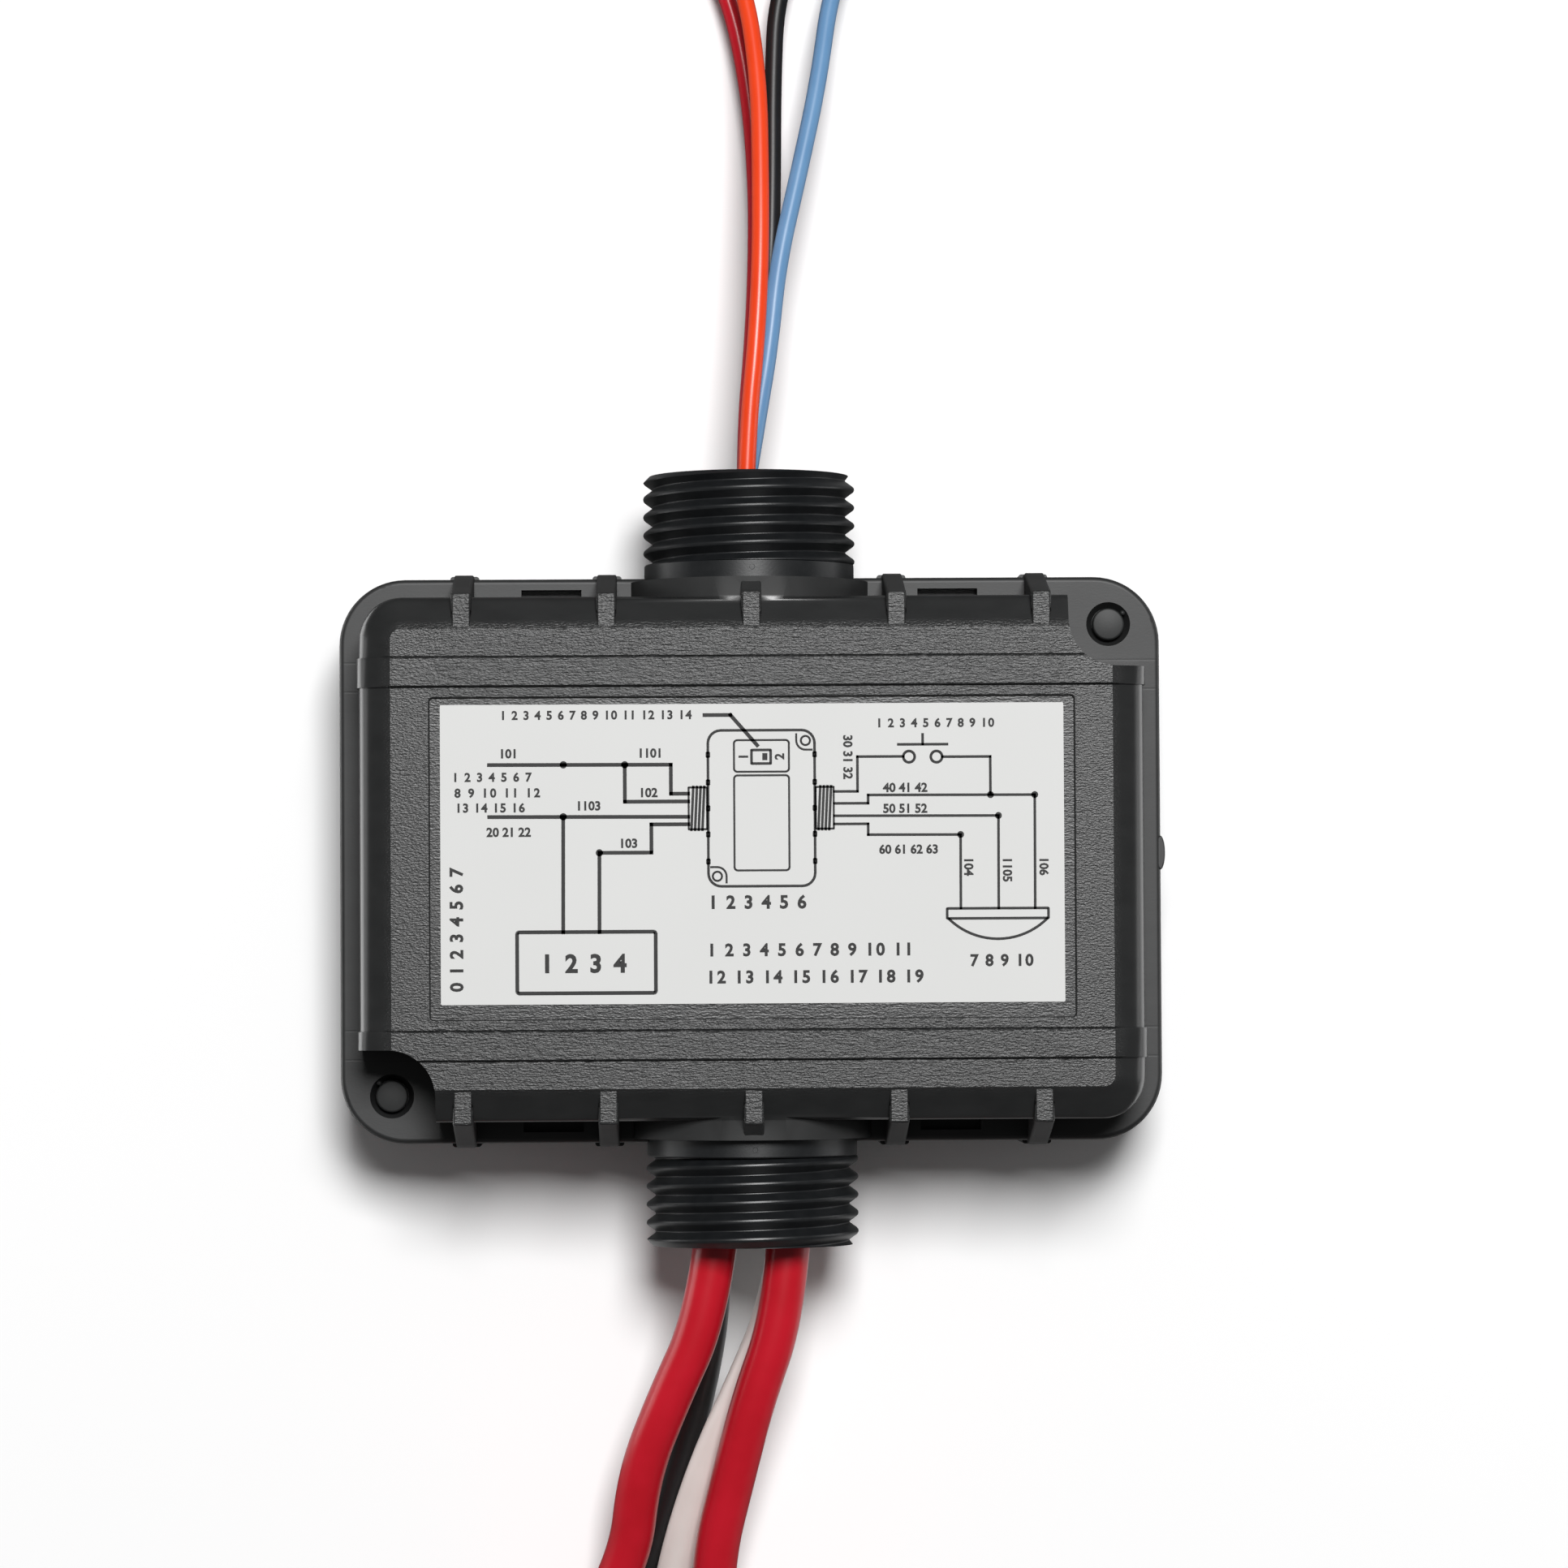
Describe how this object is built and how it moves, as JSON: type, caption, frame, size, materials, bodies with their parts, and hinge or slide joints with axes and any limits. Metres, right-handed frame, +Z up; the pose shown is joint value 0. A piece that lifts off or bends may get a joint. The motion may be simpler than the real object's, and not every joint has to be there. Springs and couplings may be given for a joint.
{
  "type": "occupancy sensor power pack",
  "caption": "Low dark plastic box with a wiring label, stiffening fins, a threaded nipple on each long side, mains and sensor leads, and a relay and slide switch inside.",
  "frame": {"origin": "centre of the housing's footprint on the surface that its front face lies on", "axes": "+X along the housing's longer side, +Y towards the sensor nipple, +Z up from the front face to the label face"},
  "size_m": [0.082, 0.3264, 0.0272],
  "materials": {
    "housing_plastic": "dark grey moulded plastic, finely textured",
    "nipple_plastic": "black moulded nylon, satin",
    "plug_plastic": "black plastic",
    "label_film": "matt white printed film",
    "pin_plastic": "dark plastic, satin",
    "board_laminate": "green solder mask",
    "switch_plastic": "black plastic",
    "contact_metal": "plated brass",
    "relay_plastic": "dark blue plastic",
    "relay_steel": "plated soft iron",
    "bobbin_plastic": "cream plastic",
    "enamelled_copper": "enamelled copper wire",
    "core_steel": "stacked silicon steel",
    "winding_tape": "yellow polyester tape",
    "capacitor_sleeve": "shrunk sleeve",
    "capacitor_box": "yellow moulded box",
    "varistor_coating": "blue dipped coating",
    "fuse_glass": "clear glass with plated caps",
    "chip_plastic": "black epoxy",
    "wire_red": "red insulation, semi gloss",
    "wire_black": "black insulation, semi gloss",
    "wire_white": "white insulation, semi gloss",
    "wire_orange": "orange insulation, semi gloss",
    "wire_blue": "light blue insulation, semi gloss",
    "bare_copper": "bare stranded copper"
  },
  "bodies": {
    "housing": {"back_cover": "housing_plastic", "front_cover": "housing_plastic", "line_nipple": "nipple_plastic", "sensor_nipple": "nipple_plastic", "line_wire_plug": "plug_plastic", "sensor_wire_plug": "plug_plastic", "wiring_label": "label_film", "corner_pins": "pin_plastic", "circuit_board": "board_laminate", "switch_housing": "switch_plastic", "switch_terminals": "contact_metal", "line_lead_tails": "wire_black", "sensor_lead_tails": "wire_black", "relay_base": "relay_plastic", "relay_case": "relay_plastic", "relay_yoke": "relay_steel", "relay_bobbin": "bobbin_plastic", "relay_winding": "enamelled_copper", "relay_fixed_contact": "contact_metal", "transformer_core": "core_steel", "transformer_bobbin": "bobbin_plastic", "transformer_winding": "winding_tape", "bulk_capacitor": "capacitor_sleeve", "output_capacitor": "capacitor_sleeve", "line_filter_capacitor": "capacitor_box", "varistor": "varistor_coating", "fuse": "fuse_glass", "bridge_rectifier": "chip_plastic", "regulator": "chip_plastic", "load_lead_red_left": "wire_red", "load_lead_red_right": "wire_red", "line_lead_black": "wire_black", "line_lead_white": "wire_white", "sensor_lead_orange": "wire_orange", "sensor_lead_blue": "wire_blue", "sensor_lead_black": "wire_black", "sensor_lead_red": "wire_red", "load_lead_red_left_end": "bare_copper", "load_lead_red_right_end": "bare_copper", "line_lead_black_end": "bare_copper", "line_lead_white_end": "bare_copper", "sensor_lead_orange_end": "bare_copper", "sensor_lead_blue_end": "bare_copper", "sensor_lead_black_end": "bare_copper", "sensor_lead_red_end": "bare_copper"},
    "switch_slider": {"switch_knob": "switch_plastic", "switch_contact": "contact_metal"},
    "relay_armature_body": {"relay_armature": "relay_steel", "relay_moving_contact": "contact_metal"}
  },
  "joints": [
    {"name": "switch_slide", "type": "slide", "parent": "housing", "child": "switch_slider", "axis": [0, -1, 0], "range_m": [0, 0.004]},
    {"name": "armature_pivot", "type": "hinge", "parent": "housing", "child": "relay_armature_body", "pos_m": [-0.03255, 0.0067, 0.02155], "axis": [0, 1, 0], "range_deg": [0, 3.6], "stiffness_Nm_per_rad": 0.01, "springref_deg": -2.86}
  ]
}
